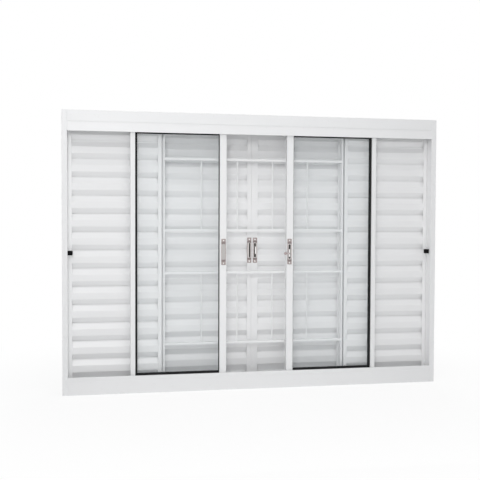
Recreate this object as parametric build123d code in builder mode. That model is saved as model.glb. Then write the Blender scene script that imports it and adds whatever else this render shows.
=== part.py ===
from build123d import *
import os

os.makedirs("parts", exist_ok=True)

# A white aluminium window of six leaves, seen from the room: two fixed louvred leaves,
# two sliding louvred leaves shut behind a security grille, two glass sashes half open.
# X runs to the right, Z up and Y from the room outwards. The origin is the middle of
# the sill's flat underside.

# Whole window
window_width = 1500.0
window_height = 1080.0
frame_depth = 120.0

# Outer frame profiles
frame_wall = 2.0
front_wall = 3.0
jamb_face = 20.0
head_face = 78.0
head_band = 43.0
sill_face = 67.3
sill_line = 15.3
line_height = 1.6
line_depth = 0.8
back_lip = 34.0
divider_height = 26.0
bearer_inset = 5.0
corner_round = 0.8
joint_gap = 0.2

# Depths of the three layers, from the front face to each leaf's room side
sash_front = 9.0
sash_depth = 24.0
fixed_front = 44.0
sliding_front = 90.0
leaf_depth = 26.0
channel_gap = 2.0

# Louvred leaves
leaf_base = 22.0
leaf_top_gap = 10.0
leaf_wall = 1.6
rail_height = 24.0
fixed_outer_stile = 31.0
fixed_inner_stile = 27.0
sliding_outer_stile = 30.0
sliding_lap = 13.0
left_meeting_stile = 23.25
right_meeting_stile = 19.75
meeting_gap = 1.5
cover_reach = 5.8
seat_gap = 0.3

# One louvre blade, a strip bent four times
nominal_pitch = 70.0
blade_wall = 1.4
blade_bite = 2.5
ridge_height = 25.0
slope_height = 25.7
strip_clearance = 1.5
valley_depth = 8.0
upstand = 6.0
tail_depth = 17.0
tail_fall = 30.4
drip_height = 3.0
bend_round = 3.0

# Glass sashes
sash_base = 30.0
sash_top_gap = 38.0
sash_opening = 121.5
sash_clearance = 2.0
sash_outer_stile = 18.0
sash_meeting_stile = 27.0
sash_rail = 34.5
sash_wall = 1.6
glass_thickness = 4.0
glass_bite = 7.0
gasket_outer = 8.3
gasket_meeting = 2.5
gasket_bottom = 8.9
gasket_top = 8.5
gasket_thickness = 3.0
track_wall = 2.5
track_bite = 6.0
groove_width = 12.0

# Security grille
grille_half_width = 366.5
grille_post = 6.5
post_depth = 15.0
post_slot = 6.0
grille_bar = 9.0
bar_depth = 26.0
grille_rod = 5.0
rod_setback = 6.0
grille_middle = 542.0
middle_band = 167.5
outer_band = 280.5
bays = 5

# Latches: a screwed plate with a shell behind it, let into the stile
latch_length = 102.0
latch_width = 17.4
latch_proud = 2.5
latch_corner = 2.0
latch_edge = 0.8
shell_width = 12.3
shell_height = 60.8
latch_pocket = 8.0
latch_wall = 1.4
latch_fit = 0.3
rim_step = 0.5
screw_reach = 44.5
screw_head = 6.4
screw_ring = 1.0
ring_depth = 1.0
lever_width = 4.2
lever_length = 30.0
lever_sink = 0.6
sash_lever_drop = 5.8
leaf_lever_shift = 2.0
guard_width = 2.5
knob_size = 12.0
knob_reach = 16.7
knob_drop = 7.3
knob_proud = 3.0
neck_height = 4.0
neck_thickness = 2.0
leaf_latch_level = 545.0
sash_latch_level = 542.5
right_latch_middle = 9.0
sash_latch_inset = 11.7

# Bumpers
bumper_width = 18.5
bumper_height = 17.0
bumper_depth = 12.0
bumper_setback = 16.0
bumper_level = 540.5
bumper_round = 3.0

# Fixing holes through the jambs
fixing_hole = 8.0
fixing_height = 150.0

# Places worked out from the sizes above
front = -frame_depth / 2
back = frame_depth / 2
half_width = window_width / 2
reveal = half_width - jamb_face
web_inside = half_width - frame_wall
head_lip = window_height - head_face
sash_face = front + sash_front
fixed_face = front + fixed_front
sliding_face = front + sliding_front
channel_front = fixed_face - channel_gap
channel_back = fixed_face + leaf_depth + channel_gap
sash_middle = sash_face + sash_depth / 2
sliding_middle = sliding_face + leaf_depth / 2
first_divider = channel_front - frame_wall / 2
second_divider = channel_back + frame_wall / 2
track_lines = [sash_middle, sliding_middle]
leaf_top = window_height - front_wall - leaf_top_gap
leaf_height = leaf_top - leaf_base
sash_top = window_height - sash_top_gap
sash_width = window_width / 4 - sash_clearance
track_notch = track_bite + seat_gap
post_inside = grille_half_width - grille_post
recess_width = shell_width - 2 * latch_wall
recess_height = shell_height - 2 * latch_wall


def export(builder, name):
    builder.part.label = name
    export_step(builder.part, f"parts/{name}.step")


def section(y_low, y_high, z_low, z_high, mode=Mode.ADD):
    """A rectangle of a profile, between two opposite corners of its sketch."""
    with Locations(((y_low + y_high) / 2, (z_low + z_high) / 2)):
        Rectangle(y_high - y_low, z_high - z_low, mode=mode)


def block(x_low, x_high, y_low, y_high, z_low, z_high, mode=Mode.ADD):
    """A straight-sided piece between two opposite corners."""
    centre = ((x_low + x_high) / 2, (y_low + y_high) / 2, (z_low + z_high) / 2)
    with Locations(centre):
        Box(x_high - x_low, y_high - y_low, z_high - z_low, mode=mode)


# Jambs: full-height profiles with a closed box behind the front face, a channel for the
# fixed leaf and one for the sliding leaf's weather strip
def make_jamb(side, name):
    with BuildPart() as jamb:
        with BuildSketch(Plane.XY):
            with Locations((half_width - jamb_face / 2, 0)):
                Rectangle(jamb_face, frame_depth)
            section(reveal + frame_wall, web_inside, front + front_wall,
                    channel_front - frame_wall, mode=Mode.SUBTRACT)
            section(reveal, web_inside, channel_front, channel_back, mode=Mode.SUBTRACT)
            section(reveal, web_inside, channel_back + frame_wall, back - front_wall,
                    mode=Mode.SUBTRACT)
        extrude(amount=window_height)
        outer_edges = jamb.edges().filter_by(Axis.Z).group_by(Axis.Y)[0]
        fillet(outer_edges, corner_round)
        with Locations(*[Plane((half_width, sliding_middle, z), z_dir=(1, 0, 0))
                         for z in (fixing_height, window_height - fixing_height)]):
            Hole(fixing_hole / 2, depth=jamb_face)
        if side < 0:
            mirror(about=Plane.YZ, mode=Mode.REPLACE)
    export(jamb, name)


def cope_for_jambs():
    """Cut the ends of the head or sill back round the jambs' boxes, dividers and lips."""
    for y_low, y_high in ((front, channel_front), (channel_back, channel_back + frame_wall),
                          (back - front_wall, back)):
        for side in (-1, 1):
            middle = side * (half_width + reveal - joint_gap) / 2
            with Locations((middle, (y_low + y_high) / 2, window_height / 2)):
                Box(jamb_face + joint_gap, y_high - y_low + 2 * joint_gap,
                    2 * window_height, mode=Mode.SUBTRACT)


# Head: a channel hung from its top web, with a two-band front face, guide ribs inside the
# sashes' and sliding leaves' top grooves, and dividers between the layers
head_web = window_height - front_wall
with BuildPart() as head_frame:
    with BuildSketch(Plane.YZ.offset(-web_inside + joint_gap)):
        section(front, back, head_web, window_height)
        with BuildLine():
            Polyline((front + 2 * line_depth, window_height), (front + 2 * line_depth,
                     window_height - head_band), (front, head_lip),
                     (front + front_wall + 2 * line_depth, head_lip),
                     (front + front_wall + 2 * line_depth, window_height), close=True)
        make_face()
        section(front, front + 2 * line_depth, window_height - head_band + line_height,
                window_height)
        section(back - front_wall, back, window_height - back_lip, window_height)
        for divider in (first_divider, second_divider):
            section(divider - frame_wall / 2, divider + frame_wall / 2,
                    head_web - divider_height, head_web)
        for track in track_lines:
            section(track - track_wall / 2, track + track_wall / 2,
                    (sash_top if track == sash_middle else leaf_top) - track_bite, head_web)
    extrude(amount=2 * (web_inside - joint_gap))
    cope_for_jambs()
export(head_frame, "head_frame")

# Sill: a flat base web, a stepped front lip, the two tracks that carry the rollers and the
# two bearers under the fixed leaves
with BuildPart() as sill_frame:
    with BuildSketch(Plane.YZ.offset(-web_inside + joint_gap)):
        section(front, back, 0, front_wall)
        section(front + line_depth, front + front_wall + line_depth, 0, sill_face)
        section(front, front + line_depth, 0, sill_face - sill_line - line_height)
        section(front, front + line_depth, sill_face - sill_line, sill_face)
        section(back - front_wall, back, 0, back_lip)
        for divider in (first_divider, second_divider):
            section(divider - frame_wall / 2, divider + frame_wall / 2,
                    front_wall, front_wall + divider_height)
        section(sash_middle - track_wall / 2, sash_middle + track_wall / 2,
                front_wall, sash_base + track_bite)
        section(sliding_middle - track_wall / 2, sliding_middle + track_wall / 2,
                front_wall, leaf_base + track_bite)
        for bearer in (channel_front + bearer_inset, channel_back - bearer_inset):
            section(bearer - frame_wall / 2, bearer + frame_wall / 2,
                    front_wall, leaf_base - seat_gap)
    extrude(amount=2 * (web_inside - joint_gap))
    cope_for_jambs()
export(sill_frame, "sill_frame")

make_jamb(-1, "left_jamb")
make_jamb(1, "right_jamb")


# A hollow stile drawn in plan, between two distances from the window's middle. A rebate is
# a step cut into its near front corner, and a cover is a flange that runs on past it
def make_stile(side, name, x_low, x_high, y_low, depth, wall, z_low, z_high,
               rebate=(0.0, 0.0), cover=0.0, tracked=False, pockets=()):
    y_high = y_low + depth
    middle = y_low + depth / 2
    step_width, step_depth = rebate
    with BuildPart() as stile:
        with BuildSketch(Plane.XY.offset(z_low)) as plan:
            section(x_low, x_high, y_low, y_high)
            if step_width:
                section(x_low, x_low + step_width, y_low, y_low + step_depth,
                        mode=Mode.SUBTRACT)
            fillet(plan.vertices(), min(corner_round, wall / 2))
            if cover:
                section(x_low - cover, x_low + wall, y_low, y_low + wall)
            section(x_low + step_width + wall, x_high - wall, y_low + wall, y_high - wall,
                    mode=Mode.SUBTRACT)
            if step_width:
                section(x_low + wall, x_low + step_width + wall,
                        y_low + step_depth + wall, y_high - wall, mode=Mode.SUBTRACT)
        extrude(amount=z_high - z_low)
        if tracked:
            for end in (z_low, z_high - track_notch):
                block(x_low, x_high, middle - groove_width / 2,
                      middle + groove_width / 2, end, end + track_notch, mode=Mode.SUBTRACT)
        for pocket in pockets:
            block(*pocket, mode=Mode.SUBTRACT)
        if side < 0:
            mirror(about=Plane.YZ, mode=Mode.REPLACE)
    export(stile, name)


# A hollow rail drawn across its depth; a track groove opens its lower or upper side
def make_rail(side, name, x_low, x_high, y_low, depth, wall, z_low, z_high, groove=0):
    y_high = y_low + depth
    middle = y_low + depth / 2
    with BuildPart() as rail:
        with BuildSketch(Plane.YZ.offset(x_low)) as profile:
            section(y_low, y_high, z_low, z_high)
            fillet(profile.vertices(), min(corner_round, wall / 2))
            low_wall = z_low + wall + (track_notch if groove < 0 else 0)
            high_wall = z_high - wall - (track_notch if groove > 0 else 0)
            section(y_low + wall, y_high - wall, low_wall, high_wall, mode=Mode.SUBTRACT)
            if groove < 0:
                section(middle - groove_width / 2, middle + groove_width / 2,
                        z_low, low_wall - wall, mode=Mode.SUBTRACT)
            if groove > 0:
                section(middle - groove_width / 2, middle + groove_width / 2,
                        high_wall + wall, z_high, mode=Mode.SUBTRACT)
        extrude(amount=x_high - x_low)
        if side < 0:
            mirror(about=Plane.YZ, mode=Mode.REPLACE)
    export(rail, name)


# Louvre blades: a bent strip with a flat nose towards the room, a sloping shelf that rises
# behind it to an upstand, and a tail that falls outwards over the next blade's upstand.
# Their ends are let into the open channels of the two stiles
blade_top = leaf_top - rail_height
tail_drop = ridge_height + tail_fall
blade_field = blade_top - leaf_base - rail_height - (tail_drop + drip_height + slope_height)
blade_count = round(blade_field / nominal_pitch) + 1
blade_pitch = blade_field / (blade_count - 1)
with BuildSketch() as blade_section:
    with BuildLine():
        FilletPolyline((valley_depth, slope_height - strip_clearance),
                       (valley_depth, slope_height - upstand), (0, 0), (0, -ridge_height),
                       (tail_depth, -tail_drop), (tail_depth, -tail_drop - drip_height),
                       radius=bend_round)
        offset(amount=blade_wall, side=Side.LEFT)
    make_face()


def make_blades(side, name, x_low, x_high, y_front):
    with BuildPart() as blades:
        with BuildSketch(Plane.YZ.offset(x_low)):
            with Locations(*[(y_front, blade_top - slope_height - blade_pitch * row)
                             for row in range(blade_count)]):
                add(blade_section.sketch)
        extrude(amount=x_high - x_low)
        if side < 0:
            mirror(about=Plane.YZ, mode=Mode.REPLACE)
    export(blades, name)


def make_louvred_leaf(side, prefix, x_low, low_stile, x_high, high_stile, names, y_low,
                      groove, rebate=(0.0, 0.0), cover=0.0, pockets=()):
    inner_name, outer_name = names
    tracked = groove > 0
    low_edge = x_low + low_stile
    high_edge = x_high - high_stile
    channel = (y_low + leaf_wall, y_low + leaf_depth - leaf_wall,
               leaf_base + rail_height, leaf_top - rail_height)
    make_stile(side, f"{prefix}_{inner_name}", x_low, low_edge, y_low, leaf_depth,
               leaf_wall, leaf_base, leaf_top, rebate, cover, tracked,
               [(low_edge - leaf_wall, low_edge, *channel), *pockets])
    make_stile(side, f"{prefix}_{outer_name}", high_edge, x_high, y_low, leaf_depth,
               leaf_wall, leaf_base, leaf_top, tracked=tracked,
               pockets=[(high_edge, high_edge + leaf_wall, *channel)])
    make_rail(side, f"{prefix}_bottom_rail", low_edge, high_edge, y_low, leaf_depth,
              leaf_wall, leaf_base, leaf_base + rail_height, -groove)
    make_rail(side, f"{prefix}_top_rail", low_edge, high_edge, y_low, leaf_depth,
              leaf_wall, leaf_top - rail_height, leaf_top, groove)
    make_blades(side, f"{prefix}_blades", low_edge - blade_bite, high_edge + blade_bite,
                y_low + leaf_wall + seat_gap)


# Glass sashes
def make_sash(side, prefix):
    x_low = sash_opening
    x_high = sash_opening + sash_width
    glass_low = x_low + sash_meeting_stile
    glass_high = x_high - sash_outer_stile
    rail_low = sash_base + sash_rail
    rail_high = sash_top - sash_rail
    pocket = latch_hole(x_low + sash_latch_inset, sash_face, sash_latch_level)
    bite = glass_bite + seat_gap
    glass_slot = (sash_middle - glass_thickness / 2 - seat_gap,
                  sash_middle + glass_thickness / 2 + seat_gap)
    slot_heights = (rail_low - bite, rail_high + bite)
    make_stile(side, f"{prefix}_meeting_stile", x_low, glass_low, sash_face, sash_depth,
               sash_wall, sash_base, sash_top, tracked=True,
               pockets=[pocket, (glass_low - bite, glass_low, *glass_slot, *slot_heights)])
    make_stile(side, f"{prefix}_outer_stile", glass_high, x_high, sash_face, sash_depth,
               sash_wall, sash_base, sash_top, tracked=True,
               pockets=[(glass_high, glass_high + bite, *glass_slot, *slot_heights)])
    for level, z_low, z_high, groove in (("bottom", sash_base, rail_low, -1),
                                         ("top", rail_high, sash_top, 1)):
        make_sash_rail(side, f"{prefix}_{level}_rail", glass_low, glass_high,
                       z_low, z_high, groove, glass_slot, bite)
    with BuildPart() as glass:
        block(glass_low - glass_bite, glass_high + glass_bite,
              sash_middle - glass_thickness / 2, sash_middle + glass_thickness / 2,
              rail_low - glass_bite, rail_high + glass_bite)
        if side < 0:
            mirror(about=Plane.YZ, mode=Mode.REPLACE)
    export(glass, f"{prefix}_glass")
    make_gasket(side, f"{prefix}_gasket", glass_low, glass_high, rail_low, rail_high)


def make_sash_rail(side, name, x_low, x_high, z_low, z_high, groove, slot, bite):
    """A hollow rail with a track groove on one edge and the glass's slot on the other."""
    sash_back = sash_face + sash_depth
    with BuildPart() as rail:
        with BuildSketch(Plane.YZ.offset(x_low)) as profile:
            section(sash_face, sash_back, z_low, z_high)
            fillet(profile.vertices(), min(corner_round, sash_wall / 2))
            low_wall = z_low + sash_wall + (track_notch if groove < 0 else bite)
            high_wall = z_high - sash_wall - (track_notch if groove > 0 else bite)
            section(sash_face + sash_wall, sash_back - sash_wall, low_wall, high_wall,
                    mode=Mode.SUBTRACT)
            track = (sash_middle - groove_width / 2, sash_middle + groove_width / 2)
            if groove < 0:
                section(*track, z_low, low_wall - sash_wall, mode=Mode.SUBTRACT)
                section(*slot, z_high - bite, z_high, mode=Mode.SUBTRACT)
            else:
                section(*track, high_wall + sash_wall, z_high, mode=Mode.SUBTRACT)
                section(*slot, z_low, z_low + bite, mode=Mode.SUBTRACT)
        extrude(amount=x_high - x_low)
        if side < 0:
            mirror(about=Plane.YZ, mode=Mode.REPLACE)
    export(rail, name)


def make_gasket(side, name, x_low, x_high, z_low, z_high):
    """Two black rubber rings, one on each face of the glass, inside the sash's opening."""
    ring_faces = (sash_middle - glass_thickness / 2 - gasket_thickness,
                  sash_middle + glass_thickness / 2)
    with BuildPart() as gasket:
        for face in ring_faces:
            block(x_low, x_high, face, face + gasket_thickness, z_low, z_high)
            block(x_low + gasket_meeting, x_high - gasket_outer,
                  face, face + gasket_thickness,
                  z_low + gasket_bottom, z_high - gasket_top, mode=Mode.SUBTRACT)
        if side < 0:
            mirror(about=Plane.YZ, mode=Mode.REPLACE)
    export(gasket, name)


def latch_hole(x_middle, y_face, level):
    """The slot that a stile has cut out for the latch's shell."""
    half = shell_width / 2 + latch_fit
    half_height = shell_height / 2 + latch_fit
    return (x_middle - half, x_middle + half, y_face, y_face + latch_pocket + latch_fit,
            level - half_height, level + half_height)


# Latches: a plate with two screws on the stile's face, and a shell behind it whose recess
# holds the levers. A lever is given by its shift, width, drop below the middle and length
def make_latch(name, x_middle, y_face, level, levers, knob=False):
    plate_front = y_face - latch_proud
    plate_plane = Plane((x_middle, y_face, level), x_dir=(1, 0, 0), z_dir=(0, -1, 0))
    with BuildPart() as latch:
        with BuildSketch(plate_plane):
            RectangleRounded(latch_width, latch_length, latch_corner)
        extrude(amount=latch_proud)
        fillet(latch.faces().sort_by(Axis.Y)[0].edges(), latch_edge)
        with BuildSketch(plate_plane.offset(latch_proud)):
            with GridLocations(0, 2 * screw_reach, 1, 2):
                Circle(screw_head / 2 + screw_ring)
                Circle(screw_head / 2, mode=Mode.SUBTRACT)
        extrude(amount=-ring_depth, mode=Mode.SUBTRACT)
        with BuildSketch(plate_plane):
            Rectangle(shell_width, shell_height)
        extrude(amount=-latch_pocket)
        with BuildSketch(plate_plane.offset(latch_proud)):
            Rectangle(shell_width, shell_height)
        extrude(amount=-rim_step, mode=Mode.SUBTRACT)
        with BuildSketch(plate_plane.offset(latch_proud)):
            Rectangle(recess_width, recess_height)
        extrude(amount=-latch_proud - latch_pocket + latch_wall, mode=Mode.SUBTRACT)
        for shift, width, drop, length in levers:
            block(x_middle + shift - width / 2, x_middle + shift + width / 2,
                  plate_front + lever_sink, y_face + latch_pocket - latch_wall,
                  level - drop - length / 2, level - drop + length / 2)
        if knob:
            neck_low = level - knob_drop - neck_height / 2
            neck_high = neck_low + neck_height
            block(x_middle - knob_reach, x_middle + lever_width / 2,
                  plate_front - neck_thickness, plate_front, neck_low, neck_high)
            block(x_middle - lever_width / 2, x_middle + lever_width / 2,
                  plate_front, plate_front + lever_sink, neck_low, neck_high)
            with BuildSketch(plate_plane.offset(seat_gap)):
                with Locations((-knob_reach, -knob_drop)):
                    Circle(knob_size / 2)
            extrude(amount=latch_proud + knob_proud - seat_gap)
            fillet(latch.faces().sort_by(Axis.Y)[0].edges(), latch_edge)
    export(latch, name)


# The six leaves. The right sliding leaf's cover flange shuts over the left one's rebate
leaf_names = ("inner_stile", "outer_stile")
sliding_names = ("meeting_stile", "outer_stile")
left_latch_middle = cover_reach + seat_gap + latch_width / 2
sash_latch_middle = sash_opening + sash_latch_inset
meeting_edge = meeting_gap / 2
cover_step = (cover_reach + seat_gap - meeting_edge, leaf_wall + seat_gap)
for side, hand, meeting_stile, latch_middle, step, cover in (
        (-1, "left", left_meeting_stile, left_latch_middle, cover_step, 0.0),
        (1, "right", right_meeting_stile, right_latch_middle, (0.0, 0.0),
         cover_reach + meeting_edge)):
    make_louvred_leaf(side, f"{hand}_fixed", post_inside, fixed_inner_stile,
                      web_inside - channel_gap, fixed_outer_stile, leaf_names, fixed_face, 0,
                      rebate=(grille_post + post_slot, post_depth))
    make_louvred_leaf(side, f"{hand}_sliding", meeting_edge, meeting_stile,
                      window_width / 4 + sliding_lap, sliding_outer_stile, sliding_names,
                      sliding_face, 1, step, cover,
                      [latch_hole(latch_middle, sliding_face, leaf_latch_level)])
    make_sash(side, f"{hand}_sash")

# The four latches, each with its levers set its own way
long_lever = recess_height - 2 * latch_fit
half_recess = recess_width / 2 - latch_fit
make_latch("left_louvre_latch", -left_latch_middle, sliding_face, leaf_latch_level,
           [(guard_width / 2 - half_recess, guard_width, 0.0, long_lever)])
make_latch("right_louvre_latch", right_latch_middle, sliding_face, leaf_latch_level,
           [(leaf_lever_shift, lever_width, 0.0, lever_length)])
make_latch("left_sash_latch", -sash_latch_middle, sash_face, sash_latch_level,
           [(sign * (half_recess - lever_width / 2), lever_width, 0.0, long_lever)
            for sign in (-1, 1)])
make_latch("right_sash_latch", sash_latch_middle, sash_face, sash_latch_level,
           [(0.0, lever_width, sash_lever_drop, lever_length)], knob=True)

# Bumpers: black rubber blocks on the jambs' reveals, where the sashes come to rest
for side, hand in ((-1, "left"), (1, "right")):
    with BuildPart() as bumper:
        block(reveal - bumper_width, reveal, front + bumper_setback,
              front + bumper_setback + bumper_depth,
              bumper_level - bumper_height / 2, bumper_level + bumper_height / 2)
        fillet(bumper.faces().sort_by(Axis.X)[0].edges(), bumper_round)
        if side < 0:
            mirror(about=Plane.YZ, mode=Mode.REPLACE)
    export(bumper, f"{hand}_bumper")

# Security grille: two flat side posts in the fixed leaves' rebates, four flat bars on edge
# between them and two rows of round rods between the bars, near their front
bar_levels = [grille_middle + sign * (middle_band / 2 + step * outer_band)
              for sign in (-1, 1) for step in (0, 1)]
bay_width = 2 * post_inside / bays
rod_places = [bay_width * (column - (bays - 2) / 2) for column in range(bays - 1)]
post_middle = fixed_face + post_depth / 2
bar_middle = fixed_face + bar_depth / 2
rod_middle = fixed_face + rod_setback

with BuildPart() as grille_posts:
    with BuildSketch(Plane.XY.offset(leaf_base)):
        with Locations(*[(side * (grille_half_width - grille_post / 2), post_middle)
                         for side in (-1, 1)]):
            RectangleRounded(grille_post, post_depth, corner_round)
    extrude(amount=leaf_height)
export(grille_posts, "grille_posts")

with BuildPart() as grille_bars:
    with BuildSketch(Plane.YZ.offset(-post_inside)):
        with Locations(*[(bar_middle, level) for level in bar_levels]):
            RectangleRounded(bar_depth, grille_bar, corner_round)
    extrude(amount=2 * post_inside)
export(grille_bars, "grille_bars")

for name, sign in (("grille_upper_rods", 1), ("grille_lower_rods", -1)):
    rod_low = min(level for level in bar_levels if sign * (level - grille_middle) > 0)
    with BuildPart() as rods:
        with BuildSketch(Plane.XY.offset(rod_low + grille_bar / 2)):
            with Locations(*[(x, rod_middle) for x in rod_places]):
                Circle(grille_rod / 2)
        extrude(amount=outer_band - grille_bar)
    export(rods, name)
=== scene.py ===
"""Looks for the louvred shutter window: white powder coat, black rubber, thin glass and satin
nickel latches, with the small parts that the solids leave out. Everything is in metres."""

import math

import bpy
from mathutils import Matrix, Vector


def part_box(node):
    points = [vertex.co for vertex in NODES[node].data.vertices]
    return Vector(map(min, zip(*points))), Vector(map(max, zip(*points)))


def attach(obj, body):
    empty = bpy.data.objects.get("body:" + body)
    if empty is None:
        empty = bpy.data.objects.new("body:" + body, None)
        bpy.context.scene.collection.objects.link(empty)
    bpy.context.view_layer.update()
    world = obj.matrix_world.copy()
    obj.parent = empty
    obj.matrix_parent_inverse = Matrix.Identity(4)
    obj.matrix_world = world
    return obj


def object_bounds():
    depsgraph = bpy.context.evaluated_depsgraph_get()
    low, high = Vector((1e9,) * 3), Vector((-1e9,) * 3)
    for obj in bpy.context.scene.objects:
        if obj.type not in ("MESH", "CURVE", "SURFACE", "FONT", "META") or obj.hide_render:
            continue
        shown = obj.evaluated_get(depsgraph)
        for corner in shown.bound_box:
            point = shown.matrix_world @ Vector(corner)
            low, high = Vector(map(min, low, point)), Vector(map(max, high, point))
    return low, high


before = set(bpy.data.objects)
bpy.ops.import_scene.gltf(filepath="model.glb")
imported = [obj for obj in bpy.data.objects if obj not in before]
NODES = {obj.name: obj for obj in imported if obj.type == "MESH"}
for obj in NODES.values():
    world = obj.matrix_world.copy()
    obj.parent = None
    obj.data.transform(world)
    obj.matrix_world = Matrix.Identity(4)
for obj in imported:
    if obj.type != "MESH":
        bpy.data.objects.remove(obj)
CAD_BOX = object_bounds()

bl_info = {
    "name": "Louvred Shutter Window",
    "version": (1, 0, 0),
    "blender": (4, 5, 0),
    "location": "3D View > Sidebar > Window",
    "description": "Finishes and small parts of a six-leaf louvred shutter window",
    "category": "Object",
}

# Where the photograph was taken from, with the camera's turn, drop and tilt in degrees
EYE = Vector((-0.585, -2.878, 0.6755))
EYE_TURN = 10.371
EYE_DROP = 1.723
EYE_TILT = 0.194
FOCAL_PIXELS = 730.0
PICTURE_PIXELS = 480.0
SENSOR_MM = 36.0

WHITE = (1.0, 1.0, 1.0, 1.0)
LAMPS = ("key", "top", "low", "back")
WINDOW_MIDDLE = (Vector(CAD_BOX[0]) + Vector(CAD_BOX[1])) / 2

# Measures of the latches that their finish and their screws follow, as on the solids. The
# depth is how far a latch reaches behind its plate's face.
PLATE_WIDTH = 0.0174
LATCH_DEPTH = 0.0105
RECESS_HALF_WIDTH = 0.00475
RECESS_HALF_HEIGHT = 0.029
RIM_HALF_WIDTH = 0.00615
RIM_HALF_HEIGHT = 0.0304
SCREW_REACH = 0.0445
SCREW_RADIUS = 0.0032
# Outer radius of the ring of painted shade round each screw head
SHADE_RING_RADIUS = 0.0042
LEVER_SINK = 0.0006
# How far the band of painted shade past each end of the rim reaches towards the screws
SHADE_BAND_REACH = 0.008

# How bright the rim, levers and screw spots of each latch are painted: a painted reflection,
# # darkest on the left latch and brightest on the right one
PAINTED_REFLECTION_SHADES = {"left_sash_latch": 0.5, "left_louvre_latch": 0.68,
                "right_louvre_latch": 0.9, "right_sash_latch": 1.0}

# How a screw head is rounded: its sides, the dome's share of its height and the dome's steps
SCREW_SIDES = 28
DOME_SHARE = 0.55
DOME_STEPS = 4
SMOOTH_ANGLE = math.radians(35.0)

# How often each pattern repeats in a metre, along x, y and z where it is stretched
COAT_DRIFT = 3.0
COAT_DUST = 60.0
BLADE_DRIFT = 4.0
BLADE_LINES = (1.5, 260.0, 260.0)
RUBBER_GRAIN = 1400.0
RUBBER_DUST = 45.0
GLASS_SMEARS = 5.0
SMEAR_STRETCH = (1.0, 1.0, 0.4)
NICKEL_BRUSHING = (900.0, 900.0, 40.0)
NICKEL_STAINS = 160.0
SCREW_TURNING = 1500.0

# How far the darkest and the lightest part of a finish stray from its colour
COAT_SHADES = (0.985, 1.01)
BLADE_SHADES = (0.975, 1.01)
PLATE_SHADES = (0.5, 1.35)
SCREW_SHADES = (0.85, 1.1)

# How strongly each pattern and each painted shade shows, and where dust starts to show
DUST_EDGE = 0.66
DUST_SHARE = 0.10
LINE_SHARE = 0.6
RUBBER_DUST_EDGE = 0.45
RUBBER_DUST_SHARE = 0.5
SHADE_BAND_SHARE = 0.45
HOLLOW_SHADE_SHARE = 0.92

# Depth of the fine bumps, in metres
BUMP_DEPTH = 0.0002
RUBBER_BUMP_DEPTH = 0.0003

# How matt and how glossy the rubber is
RUBBER_ROUGHNESS = 0.72
RUBBER_GLOSS = 0.3

# How metallic and how matt the latches and their screws are
NICKEL_METAL = 0.75
HOLLOW_METAL = 0.15
NICKEL_ROUGHNESS = 0.34
BRUSHED_ROUGHNESS = 0.2
POLISH = 0.12
SCREW_METAL = 0.9
SCREW_ROUGHNESS = 0.22
TURNED_ROUGHNESS = 0.15


class WindowFinish(bpy.types.PropertyGroup):
    """Colours and gloss of the window's finishes."""

    coat_colour: bpy.props.FloatVectorProperty(
        name="Powder coat", description="Colour of the white powder coat",
        subtype="COLOR", size=3, min=0.0, max=1.0, default=(0.85, 0.852, 0.858))
    coat_roughness: bpy.props.FloatProperty(
        name="Coat roughness", description="How matt the powder coat is",
        subtype="FACTOR", min=0.0, max=1.0, default=0.38)
    grain_size: bpy.props.FloatProperty(
        name="Coat grain", description="Size of the coat's fine bumps",
        min=0.0001, max=0.01, default=0.0012, unit="LENGTH")
    dust_colour: bpy.props.FloatVectorProperty(
        name="Dust", description="Colour of the specks of dust on the powder coat",
        subtype="COLOR", size=3, min=0.0, max=1.0, default=(0.66, 0.65, 0.63))
    rubber_colour: bpy.props.FloatVectorProperty(
        name="Rubber", description="Colour of the gaskets and bumpers",
        subtype="COLOR", size=3, min=0.0, max=1.0, default=(0.006, 0.006, 0.007))
    rubber_dust: bpy.props.FloatVectorProperty(
        name="Rubber dust", description="Colour of the dust in the rubber's grain",
        subtype="COLOR", size=3, min=0.0, max=1.0, default=(0.022, 0.022, 0.021))
    glass_colour: bpy.props.FloatVectorProperty(
        name="Glass tint", description="Faint blue-green of the glass",
        subtype="COLOR", size=3, min=0.0, max=1.0, default=(0.5, 0.72, 0.78))
    glass_veil: bpy.props.FloatProperty(
        name="Glass veil", description="How much of the tint lies over what is behind",
        subtype="FACTOR", min=0.0, max=1.0, default=0.024)
    glass_roughness: bpy.props.FloatProperty(
        name="Glass roughness", description="How matt the cleanest part of the glass is",
        subtype="FACTOR", min=0.0, max=1.0, default=0.02)
    smear_roughness: bpy.props.FloatProperty(
        name="Smears", description="How much more matt the glass is where it is smeared",
        subtype="FACTOR", min=0.0, max=1.0, default=0.04)
    nickel_colour: bpy.props.FloatVectorProperty(
        name="Nickel", description="Colour of the latches' plates",
        subtype="COLOR", size=3, min=0.0, max=1.0, default=(0.37, 0.315, 0.31))
    bright_colour: bpy.props.FloatVectorProperty(
        name="Bright metal", description="Colour of the levers, rims and screws",
        subtype="COLOR", size=3, min=0.0, max=1.0, default=(0.80, 0.78, 0.77))
    # Painted shade: the near-black laid in the latches' recesses and round their screw heads
    hollow_shade_colour: bpy.props.FloatVectorProperty(
        name="Hollows", description="Colour of the latches' recesses and screw rings",
        subtype="COLOR", size=3, min=0.0, max=1.0, default=(0.03, 0.024, 0.022))


class WindowScrews(bpy.types.PropertyGroup):
    """Sizes of the screws that hold the latches."""

    height: bpy.props.FloatProperty(
        name="Head height", description="How thick a screw's head is",
        min=0.0004, max=0.003, default=0.0012, unit="LENGTH")
    cross_length: bpy.props.FloatProperty(
        name="Cross length", description="Length of each slot of the cross recess",
        min=0.001, max=0.006, default=0.0038, unit="LENGTH")
    cross_width: bpy.props.FloatProperty(
        name="Cross width", description="Width of each slot of the cross recess",
        min=0.0003, max=0.002, default=0.0009, unit="LENGTH")


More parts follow.
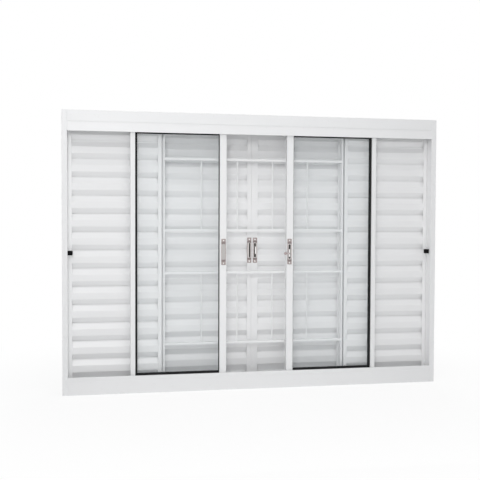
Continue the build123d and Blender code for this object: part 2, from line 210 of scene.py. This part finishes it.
class WindowStage(bpy.types.PropertyGroup):
    """Floor and light round the window."""

    floor_size: bpy.props.FloatProperty(
        name="Floor", description="Side of the square floor",
        min=1.0, default=14.0, unit="LENGTH")
    floor_colour: bpy.props.FloatVectorProperty(
        name="Floor colour", description="Pale colour of the floor",
        subtype="COLOR", size=3, min=0.0, max=1.0, default=(0.93, 0.93, 0.93))
    fade_start: bpy.props.FloatProperty(
        name="Fade start", description="How far from the window the floor starts to fade",
        min=0.0, default=0.45, unit="LENGTH")
    fade_end: bpy.props.FloatProperty(
        name="Fade end", description="How far from the window the floor is plain white",
        min=0.0, default=1.5, unit="LENGTH")
    fade_least: bpy.props.FloatProperty(
        name="Least fade", description="How white the floor is beside the window",
        subtype="FACTOR", min=0.0, max=1.0, default=0.86)
    sky_colour: bpy.props.FloatVectorProperty(
        name="Room light colour", description="Colour of the even light from all round",
        subtype="COLOR", size=3, min=0.0, max=1.0, default=(0.97, 0.985, 1.0))
    sky_strength: bpy.props.FloatProperty(
        name="Room light", description="Strength of the even light from all round",
        min=0.0, default=0.40)
    lamp_colour: bpy.props.FloatVectorProperty(
        name="Lamp colour", description="Colour of the soft lights",
        subtype="COLOR", size=3, min=0.0, max=1.0, default=(1.0, 0.996, 0.99))
    key_power: bpy.props.FloatProperty(
        name="Main light", description="Power of the soft light in front, a little to the left",
        min=0.0, default=20.0, unit="POWER")
    key_size: bpy.props.FloatProperty(
        name="Main light size", description="Side of the main soft light",
        min=0.1, default=0.8, unit="LENGTH")
    key_place: bpy.props.FloatVectorProperty(
        name="Main light's place", description="Where the main light hangs",
        subtype="TRANSLATION", size=3, unit="LENGTH", default=(-0.85, -2.7, 1.72))
    top_power: bpy.props.FloatProperty(
        name="Top light", description="Power of the wide light overhead",
        min=0.0, default=19.0, unit="POWER")
    top_size: bpy.props.FloatProperty(
        name="Top light size", description="Side of the overhead light",
        min=0.1, default=1.6, unit="LENGTH")
    top_place: bpy.props.FloatVectorProperty(
        name="Top light's place", description="Where the overhead light hangs",
        subtype="TRANSLATION", size=3, unit="LENGTH", default=(0.0, -0.9, 3.0))
    low_power: bpy.props.FloatProperty(
        name="Low light", description="Power of the weak light near the floor",
        min=0.0, default=4.4, unit="POWER")
    low_size: bpy.props.FloatProperty(
        name="Low light size", description="Side of the weak light near the floor",
        min=0.1, default=1.5, unit="LENGTH")
    low_place: bpy.props.FloatVectorProperty(
        name="Low light's place", description="Where the weak light stands",
        subtype="TRANSLATION", size=3, unit="LENGTH", default=(-0.05, -1.05, 0.1))
    back_power: bpy.props.FloatProperty(
        name="Back light", description="Power of the soft light behind the window",
        min=0.0, default=26.0, unit="POWER")
    back_size: bpy.props.FloatProperty(
        name="Back light size", description="Side of the light behind the window",
        min=0.1, default=1.4, unit="LENGTH")
    back_place: bpy.props.FloatVectorProperty(
        name="Back light's place", description="Where the light behind the window hangs",
        subtype="TRANSLATION", size=3, unit="LENGTH", default=(0.9, 2.4, 1.9))


class Wire:
    """One output of a shader node, which can be added, multiplied and compared."""

    def __init__(self, finish, socket):
        self.finish = finish
        self.socket = socket

    def maths(self, operation, first, second=0.0):
        return self.finish.node("ShaderNodeMath", {"operation": operation},
                                {0: first, 1: second})

    def __add__(self, other):
        return self.maths("ADD", self, other)

    def __radd__(self, other):
        return self.maths("ADD", other, self)

    def __sub__(self, other):
        return self.maths("SUBTRACT", self, other)

    def __rsub__(self, other):
        return self.maths("SUBTRACT", other, self)

    def __mul__(self, other):
        return self.maths("MULTIPLY", self, other)

    def __rmul__(self, other):
        return self.maths("MULTIPLY", other, self)

    def __gt__(self, other):
        return self.maths("GREATER_THAN", self, other)

    def __lt__(self, other):
        return self.maths("LESS_THAN", self, other)

    def __pow__(self, other):
        return self.maths("POWER", self, other)

    def __abs__(self):
        return self.maths("ABSOLUTE", self)


class Finish:
    """A material under construction, whose nodes are made by one method."""

    def __init__(self, name, tree=None):
        if tree is None:
            self.material = bpy.data.materials.new(name)
            self.material.use_nodes = True
            tree = self.material.node_tree
        self.tree = tree
        self.tree.nodes.clear()

    def node(self, kind, settings=None, inputs=None, output=0):
        """Add a node, set it, feed its inputs and give back one output, or several if output
        is a tuple. Inputs and outputs go by name or by number."""
        made = self.tree.nodes.new(kind)
        for key, value in (settings or {}).items():
            setattr(made, key, value)
        for key, value in (inputs or {}).items():
            if isinstance(value, Wire):
                self.tree.links.new(value.socket, made.inputs[key])
            else:
                made.inputs[key].default_value = value
        if not made.outputs:
            return None
        if isinstance(output, tuple):
            return tuple(Wire(self, made.outputs[place]) for place in output)
        return Wire(self, made.outputs[output])

    def place(self, scale=(1.0, 1.0, 1.0)):
        """The point on the piece, in metres of the window's own frame, stretched by scale."""
        point = self.node("ShaderNodeTexCoord", output="Object")
        return self.node("ShaderNodeMapping", None, {"Vector": point, "Scale": scale})

    def noise(self, point, scale, detail=2.0, roughness=0.5):
        """A random pattern from 0 to 1, repeating about scale times in a metre."""
        return self.node("ShaderNodeTexNoise", None,
                         {"Vector": point, "Scale": scale, "Detail": detail,
                          "Roughness": roughness})

    def bump(self, height, strength, depth=BUMP_DEPTH):
        """Fine bumps from a pattern of heights."""
        return self.node("ShaderNodeBump", None,
                         {"Strength": strength, "Distance": depth, "Height": height})

    def blend(self, share, first, second):
        """A colour between two others, which a Mix node keeps in inputs 6 and 7."""
        return self.node("ShaderNodeMix", {"data_type": "RGBA"},
                         {0: share, 6: first, 7: second}, output=2)

    def background_rays(self):
        """1 for rays from the camera, a reflection or the glass, which see a white surround."""
        camera, glossy, through = self.node(
            "ShaderNodeLightPath",
            output=("Is Camera Ray", "Is Glossy Ray", "Is Transmission Ray"))
        return camera + glossy + through

    def surface(self, **inputs):
        """End the material with one shader, whose inputs are given by name."""
        names = {key.replace("_", " "): value for key, value in inputs.items()}
        shader = self.node("ShaderNodeBsdfPrincipled", None, names)
        self.node("ShaderNodeOutputMaterial", None, {"Surface": shader})
        return self.material


def shade(colour, factor=1.0):
    """A colour made darker or lighter, with the fourth channel that a socket needs."""
    return (*[channel * factor for channel in colour], 1.0)


def about(middle, pattern, spread):
    """A value that a pattern moves up and down by half of spread."""
    return middle + spread * (pattern - 0.5)


def powder_coat(settings):
    """White powder coat: fine orange peel, a slow drift of tone and a little dust."""
    finish = Finish("white_powder_coat")
    point = finish.place()
    grain = finish.noise(point, 1.0 / settings.grain_size, detail=3.0, roughness=0.55)
    drift = finish.noise(point, COAT_DRIFT)
    dust = finish.noise(point, COAT_DUST, detail=4.0, roughness=0.6)
    dark, light = (shade(settings.coat_colour, factor) for factor in COAT_SHADES)
    tone = finish.blend(drift, dark, light)
    colour = finish.blend((dust > DUST_EDGE) * DUST_SHARE, tone, shade(settings.dust_colour))
    return finish.surface(Base_Color=colour,
                          Roughness=about(settings.coat_roughness, grain, spread=0.10),
                          Normal=finish.bump(grain, strength=0.12))


def rolled_coat(settings):
    """The blades' coat: the same white with faint lengthwise rolling lines."""
    finish = Finish("white_rolled_blades")
    point = finish.place()
    grain = finish.noise(point, 1.0 / settings.grain_size, detail=3.0, roughness=0.55)
    lines = finish.noise(finish.place(BLADE_LINES), scale=1.0, detail=3.0, roughness=0.6)
    drift = finish.noise(point, BLADE_DRIFT)
    dark, light = (shade(settings.coat_colour, factor) for factor in BLADE_SHADES)
    colour = finish.blend(LINE_SHARE * lines + (1.0 - LINE_SHARE) * drift, dark, light)
    return finish.surface(Base_Color=colour,
                          Roughness=about(settings.coat_roughness, lines, spread=0.12),
                          Normal=finish.bump(0.5 * grain + 0.5 * lines, strength=0.15))


def black_rubber(settings, name, paleness):
    """Matt black rubber with a fine moulded grain and dust in it."""
    finish = Finish(name)
    point = finish.place()
    grain = finish.noise(point, RUBBER_GRAIN, detail=3.0, roughness=0.6)
    dust = finish.noise(point, RUBBER_DUST, detail=4.0, roughness=0.65)
    colour = finish.blend((dust - RUBBER_DUST_EDGE) * RUBBER_DUST_SHARE,
                          shade(settings.rubber_colour, paleness),
                          shade(settings.rubber_dust, paleness))
    return finish.surface(Base_Color=colour,
                          Roughness=about(RUBBER_ROUGHNESS, dust, spread=0.2),
                          Specular_IOR_Level=RUBBER_GLOSS * paleness,
                          Normal=finish.bump(grain, strength=0.25, depth=RUBBER_BUMP_DEPTH))


def window_glass(settings):
    """Thin glass, nearly clear, with a faint blue-green veil."""
    finish = Finish("window_glass")
    smear = finish.noise(finish.place(SMEAR_STRETCH), GLASS_SMEARS, detail=3.0)
    roughness = settings.glass_roughness + settings.smear_roughness * smear
    return finish.surface(Base_Color=shade(settings.glass_colour), Roughness=roughness,
                          Alpha=settings.glass_veil)


def plate_middle(latch):
    """The middle of a latch's plate, on the face that the room sees."""
    low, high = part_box(latch)
    return high[0] - PLATE_WIDTH / 2, high[1] - LATCH_DEPTH, (low[2] + high[2]) / 2


def latch_nickel(settings, name):
    """Satin nickel of one latch: brownish plate, bright rim and levers, painted shade in the
    hollows, round the screws and past the rim's ends, and a painted reflection per latch.
    """
    middle_x, plate_front, middle_z = plate_middle(name)
    finish = Finish(name + "_nickel")
    point = finish.place()
    x, y, z = finish.node("ShaderNodeSeparateXYZ", None, {"Vector": point},
                          output=("X", "Y", "Z"))
    off_x, off_z = abs(x - middle_x), abs(z - middle_z)
    depth = y - plate_front

    # Where the rim, the recess, the levers and the screws are, each 1 inside and 0 outside.
    # The levers lie a little under the plate's face, and the hollow is all that is deeper.
    in_rim = (off_x < RIM_HALF_WIDTH) * (off_z < RIM_HALF_HEIGHT)
    in_recess = (off_x < RECESS_HALF_WIDTH) * (off_z < RECESS_HALF_HEIGHT)
    hollow = in_recess * (depth > 2.0 * LEVER_SINK)
    lever = in_recess * (depth > 0.5 * LEVER_SINK) - hollow
    from_screw = off_z - SCREW_REACH
    screw_distance = (off_x * off_x + from_screw * from_screw) ** 0.5
    # A ring of painted shade round each screw head
    screw_shade_ring = (screw_distance < SHADE_RING_RADIUS) * (screw_distance > SCREW_RADIUS)
    bright = (in_rim - in_recess) + lever + (screw_distance < SCREW_RADIUS)
    # A band of painted shade past each end of the rim, darkening the plate towards the screws
    shade_band = (off_z > RIM_HALF_HEIGHT) * (off_z < RIM_HALF_HEIGHT + SHADE_BAND_REACH)

    brushed = finish.noise(finish.place(NICKEL_BRUSHING), scale=1.0, detail=3.0,
                           roughness=0.6)
    stain = finish.noise(point, NICKEL_STAINS, detail=4.0, roughness=0.65)
    dark, light = (shade(settings.nickel_colour, factor) for factor in PLATE_SHADES)
    plate = finish.blend(stain - SHADE_BAND_SHARE * shade_band, dark, light)
    # Painted reflection: each latch's bright parts are made lighter or darker by its own factor
    metal = finish.blend(bright, plate, shade(settings.bright_colour, PAINTED_REFLECTION_SHADES[name]))
    # Painted shade: the recess below the levers and the rings round the screws are made
    # near-black
    colour = finish.blend(HOLLOW_SHADE_SHARE * (hollow + screw_shade_ring), metal, shade(settings.hollow_shade_colour))
    roughness = NICKEL_ROUGHNESS + BRUSHED_ROUGHNESS * brushed - POLISH * bright
    return finish.surface(Base_Color=colour,
                          Metallic=NICKEL_METAL - (NICKEL_METAL - HOLLOW_METAL) * hollow,
                          Roughness=roughness, Normal=finish.bump(brushed, strength=0.2))


def bright_steel(settings):
    """Bright screws with a fine turned grain."""
    finish = Finish("bright_screws")
    turned = finish.noise(finish.place(), SCREW_TURNING, detail=3.0, roughness=0.6)
    dark, light = (shade(settings.bright_colour, factor) for factor in SCREW_SHADES)
    roughness = SCREW_ROUGHNESS + TURNED_ROUGHNESS * turned
    return finish.surface(Base_Color=finish.blend(turned, dark, light),
                          Metallic=SCREW_METAL, Roughness=roughness)


def dress(names, material):
    """Give each named solid one finish."""
    if not names:
        raise RuntimeError("no solid takes " + material.name)
    for name in names:
        mesh = NODES[name].data
        mesh.materials.clear()
        mesh.materials.append(material)


def add_piece(name, piece, material):
    """Name a finished mesh, give it its finish and let it ride with the window."""
    piece.name = name
    piece.data.name = name
    piece.data.materials.clear()
    piece.data.materials.append(material)
    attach(piece, "root")


def settle():
    """Move the active object's place and turn into its mesh."""
    bpy.ops.object.transform_apply(location=True, rotation=True, scale=True)


def copies_at(pattern, places):
    """One mesh object made of copies of a pattern, each moved to its place."""
    made = []
    for place in places:
        copy = pattern.copy()
        copy.data = pattern.data.copy()
        copy.data.transform(Matrix.Translation(place))
        bpy.context.collection.objects.link(copy)
        made.append(copy)
    bpy.ops.object.select_all(action="DESELECT")
    for copy in made:
        copy.select_set(True)
    bpy.context.view_layer.objects.active = made[0]
    bpy.ops.object.join()
    return bpy.context.object


def cut_out(piece, cutter):
    """Take a cutter's shape out of a piece."""
    bpy.ops.object.select_all(action="DESELECT")
    piece.select_set(True)
    bpy.context.view_layer.objects.active = piece
    modifier = piece.modifiers.new("cut", "BOOLEAN")
    modifier.operation = "DIFFERENCE"
    modifier.object = cutter
    bpy.ops.object.modifier_apply(modifier=modifier.name)
    bpy.data.objects.remove(cutter)


def model_screw(screws):
    """A domed screw head round the origin, facing the room, with a cross recess."""
    bpy.ops.mesh.primitive_cylinder_add(vertices=SCREW_SIDES, radius=SCREW_RADIUS,
                                        depth=screws.height,
                                        rotation=(math.pi / 2, 0.0, 0.0))
    screw = bpy.context.object
    settle()
    bpy.ops.object.mode_set(mode="EDIT")
    bpy.ops.mesh.select_all(action="DESELECT")
    bpy.ops.object.mode_set(mode="OBJECT")
    for edge in screw.data.edges:
        edge.select = all(screw.data.vertices[i].co.y < 0.0 for i in edge.vertices)
    bpy.ops.object.mode_set(mode="EDIT")
    bpy.ops.mesh.select_mode(type="EDGE")
    bpy.ops.mesh.bevel(offset=DOME_SHARE * screws.height, segments=DOME_STEPS, profile=0.5)
    bpy.ops.object.mode_set(mode="OBJECT")
    slots = ((screws.cross_length, screws.cross_width),
             (screws.cross_width, screws.cross_length))
    for across, up in slots:
        bpy.ops.mesh.primitive_cube_add(size=1.0, location=(0.0, -screws.height / 2, 0.0),
                                        scale=(across, screws.height, up))
        cutter = bpy.context.object
        settle()
        cut_out(screw, cutter)
    bpy.ops.object.shade_smooth_by_angle(angle=SMOOTH_ANGLE)
    return screw


def place_screws(screw, latch, material):
    """The two screws of a latch, a little proud of its plate."""
    middle_x, plate_front, middle_z = plate_middle(latch)
    places = [(middle_x, plate_front, middle_z + end * SCREW_REACH) for end in (-1.0, 1.0)]
    add_piece(latch + "_screws", copies_at(screw, places), material)


class WINDOW_OT_coat_profiles(bpy.types.Operator):
    """Coat the frame, stiles, rails, grille and blades white"""

    bl_idname = "window.coat_profiles"
    bl_label = "Coat the profiles"

    def execute(self, context):
        settings = context.scene.window_finish
        blades = [name for name in NODES if name.endswith("_blades")]
        endings = ("_stile", "_rail", "_jamb", "_frame")
        profiles = [name for name in NODES
                    if name.endswith(endings) or name.startswith("grille_")]
        dress(profiles, powder_coat(settings))
        dress(blades, rolled_coat(settings))
        return {"FINISHED"}


class WINDOW_OT_fit_glass_and_rubber(bpy.types.Operator):
    """Finish the panes, gaskets and bumpers"""

    bl_idname = "window.fit_glass_and_rubber"
    bl_label = "Finish the glass and rubber"

    def execute(self, context):
        settings = context.scene.window_finish
        dress([name for name in NODES if name.endswith("_glass")], window_glass(settings))
        dress([name for name in NODES if name.endswith("_gasket")],
              black_rubber(settings, "gasket_rubber", paleness=1.0))
        dress([name for name in NODES if name.endswith("_bumper")],
              black_rubber(settings, "bumper_rubber", paleness=0.5))
        return {"FINISHED"}


class WINDOW_OT_finish_latches(bpy.types.Operator):
    """Finish the four latches in satin nickel and drive their screws"""

    bl_idname = "window.finish_latches"
    bl_label = "Finish the latches"

    def execute(self, context):
        settings = context.scene.window_finish
        latches = [name for name in NODES if name.endswith("_latch")]
        screw = model_screw(context.scene.window_screws)
        steel = bright_steel(settings)
        for name in latches:
            dress([name], latch_nickel(settings, name))
            place_screws(screw, name, steel)
        bpy.data.objects.remove(screw)
        return {"FINISHED"}


def stage_floor(stage):
    """A pale floor that fades to the white surround away from the window."""
    bpy.ops.mesh.primitive_plane_add(size=stage.floor_size, location=(0.0, 0.0, 0.0))
    floor = bpy.context.object
    floor.name = "studio_floor"
    finish = Finish("studio_floor")
    place = finish.node("ShaderNodeTexCoord", output="Object")
    distance = finish.node("ShaderNodeVectorMath", {"operation": "LENGTH"}, {0: place},
                           output="Value")
    fade = finish.node("ShaderNodeMapRange", {"interpolation_type": "SMOOTHSTEP"},
                       {"Value": distance, "From Min": stage.fade_start,
                        "From Max": stage.fade_end, "To Min": stage.fade_least})
    pale = finish.node("ShaderNodeBsdfDiffuse", None, {"Color": shade(stage.floor_colour)})
    white = finish.node("ShaderNodeEmission", None, {"Color": WHITE})
    shader = finish.node("ShaderNodeMixShader", None,
                         {0: fade * finish.background_rays(), 1: pale, 2: white})
    finish.node("ShaderNodeOutputMaterial", None, {"Surface": shader})
    floor.data.materials.append(finish.material)


def stage_sky(stage):
    """Even light from all round, which the camera and reflections see as plain white."""
    world = bpy.data.worlds.new("studio_surround")
    bpy.context.scene.world = world
    world.use_nodes = True
    finish = Finish("studio_surround", world.node_tree)
    light = finish.node("ShaderNodeBackground", None,
                        {"Color": shade(stage.sky_colour), "Strength": stage.sky_strength})
    white = finish.node("ShaderNodeBackground", None, {"Color": WHITE, "Strength": 1.0})
    shader = finish.node("ShaderNodeMixShader", None,
                         {0: finish.background_rays(), 1: light, 2: white})
    finish.node("ShaderNodeOutputWorld", None, {"Surface": shader})


def stage_lamp(stage, name):
    """A square soft light aimed at the middle of the window."""
    place = Vector(getattr(stage, name + "_place"))
    bpy.ops.object.light_add(type="AREA", location=place)
    lamp = bpy.context.object
    lamp.name = "soft_" + name
    lamp.data.energy = getattr(stage, name + "_power")
    lamp.data.size = getattr(stage, name + "_size")
    lamp.data.color = stage.lamp_colour
    aim = WINDOW_MIDDLE - place
    lamp.rotation_euler = aim.to_track_quat("-Z", "Y").to_euler()


def stage_camera():
    """The camera at the place and angle from which the photograph was taken."""
    turn, drop, tilt = (math.radians(a) for a in (EYE_TURN, EYE_DROP, EYE_TILT))
    ahead = Vector((math.sin(turn) * math.cos(drop), math.cos(turn) * math.cos(drop),
                    -math.sin(drop)))
    right = Vector((math.cos(turn), -math.sin(turn), 0.0))
    above = right.cross(ahead)
    side = right * math.cos(tilt) + above * math.sin(tilt)
    upper = above * math.cos(tilt) - right * math.sin(tilt)
    bpy.ops.object.camera_add(location=EYE)
    camera = bpy.context.object
    camera.name = "photo_camera"
    camera.data.sensor_width = SENSOR_MM
    camera.data.lens = SENSOR_MM * FOCAL_PIXELS / PICTURE_PIXELS
    turned = Matrix((side, upper, -ahead)).transposed()
    camera.rotation_euler = turned.to_euler()
    bpy.context.scene.camera = camera


class WINDOW_OT_set_stage(bpy.types.Operator):
    """Lay the floor, set the lights and place the camera"""

    bl_idname = "window.set_stage"
    bl_label = "Set the stage"

    def execute(self, context):
        stage = context.scene.window_stage
        stage_floor(stage)
        stage_sky(stage)
        for name in LAMPS:
            stage_lamp(stage, name)
        stage_camera()
        context.scene.view_settings.view_transform = "Standard"
        return {"FINISHED"}


OPERATORS = (WINDOW_OT_coat_profiles, WINDOW_OT_fit_glass_and_rubber,
             WINDOW_OT_finish_latches, WINDOW_OT_set_stage)


class WINDOW_PT_build(bpy.types.Panel):
    """The window's steps, in the order in which they are run"""

    bl_idname = "WINDOW_PT_build"
    bl_label = "Louvred Shutter Window"
    bl_space_type = "VIEW_3D"
    bl_region_type = "UI"
    bl_category = "Window"

    def draw(self, context):
        for operator in OPERATORS:
            self.layout.operator(operator.bl_idname)


CLASSES = (WindowFinish, WindowScrews, WindowStage, *OPERATORS, WINDOW_PT_build)


def register():
    for entry in CLASSES:
        bpy.utils.register_class(entry)
    bpy.types.Scene.window_finish = bpy.props.PointerProperty(type=WindowFinish)
    bpy.types.Scene.window_screws = bpy.props.PointerProperty(type=WindowScrews)
    bpy.types.Scene.window_stage = bpy.props.PointerProperty(type=WindowStage)


def unregister():
    del bpy.types.Scene.window_stage
    del bpy.types.Scene.window_screws
    del bpy.types.Scene.window_finish
    for entry in reversed(CLASSES):
        bpy.utils.unregister_class(entry)


def main():
    register()
    bpy.ops.object.select_all(action="DESELECT")
    bpy.ops.window.coat_profiles()
    bpy.ops.window.fit_glass_and_rubber()
    bpy.ops.window.finish_latches()
    bpy.ops.window.set_stage()


if __name__ == "__main__":
    main()
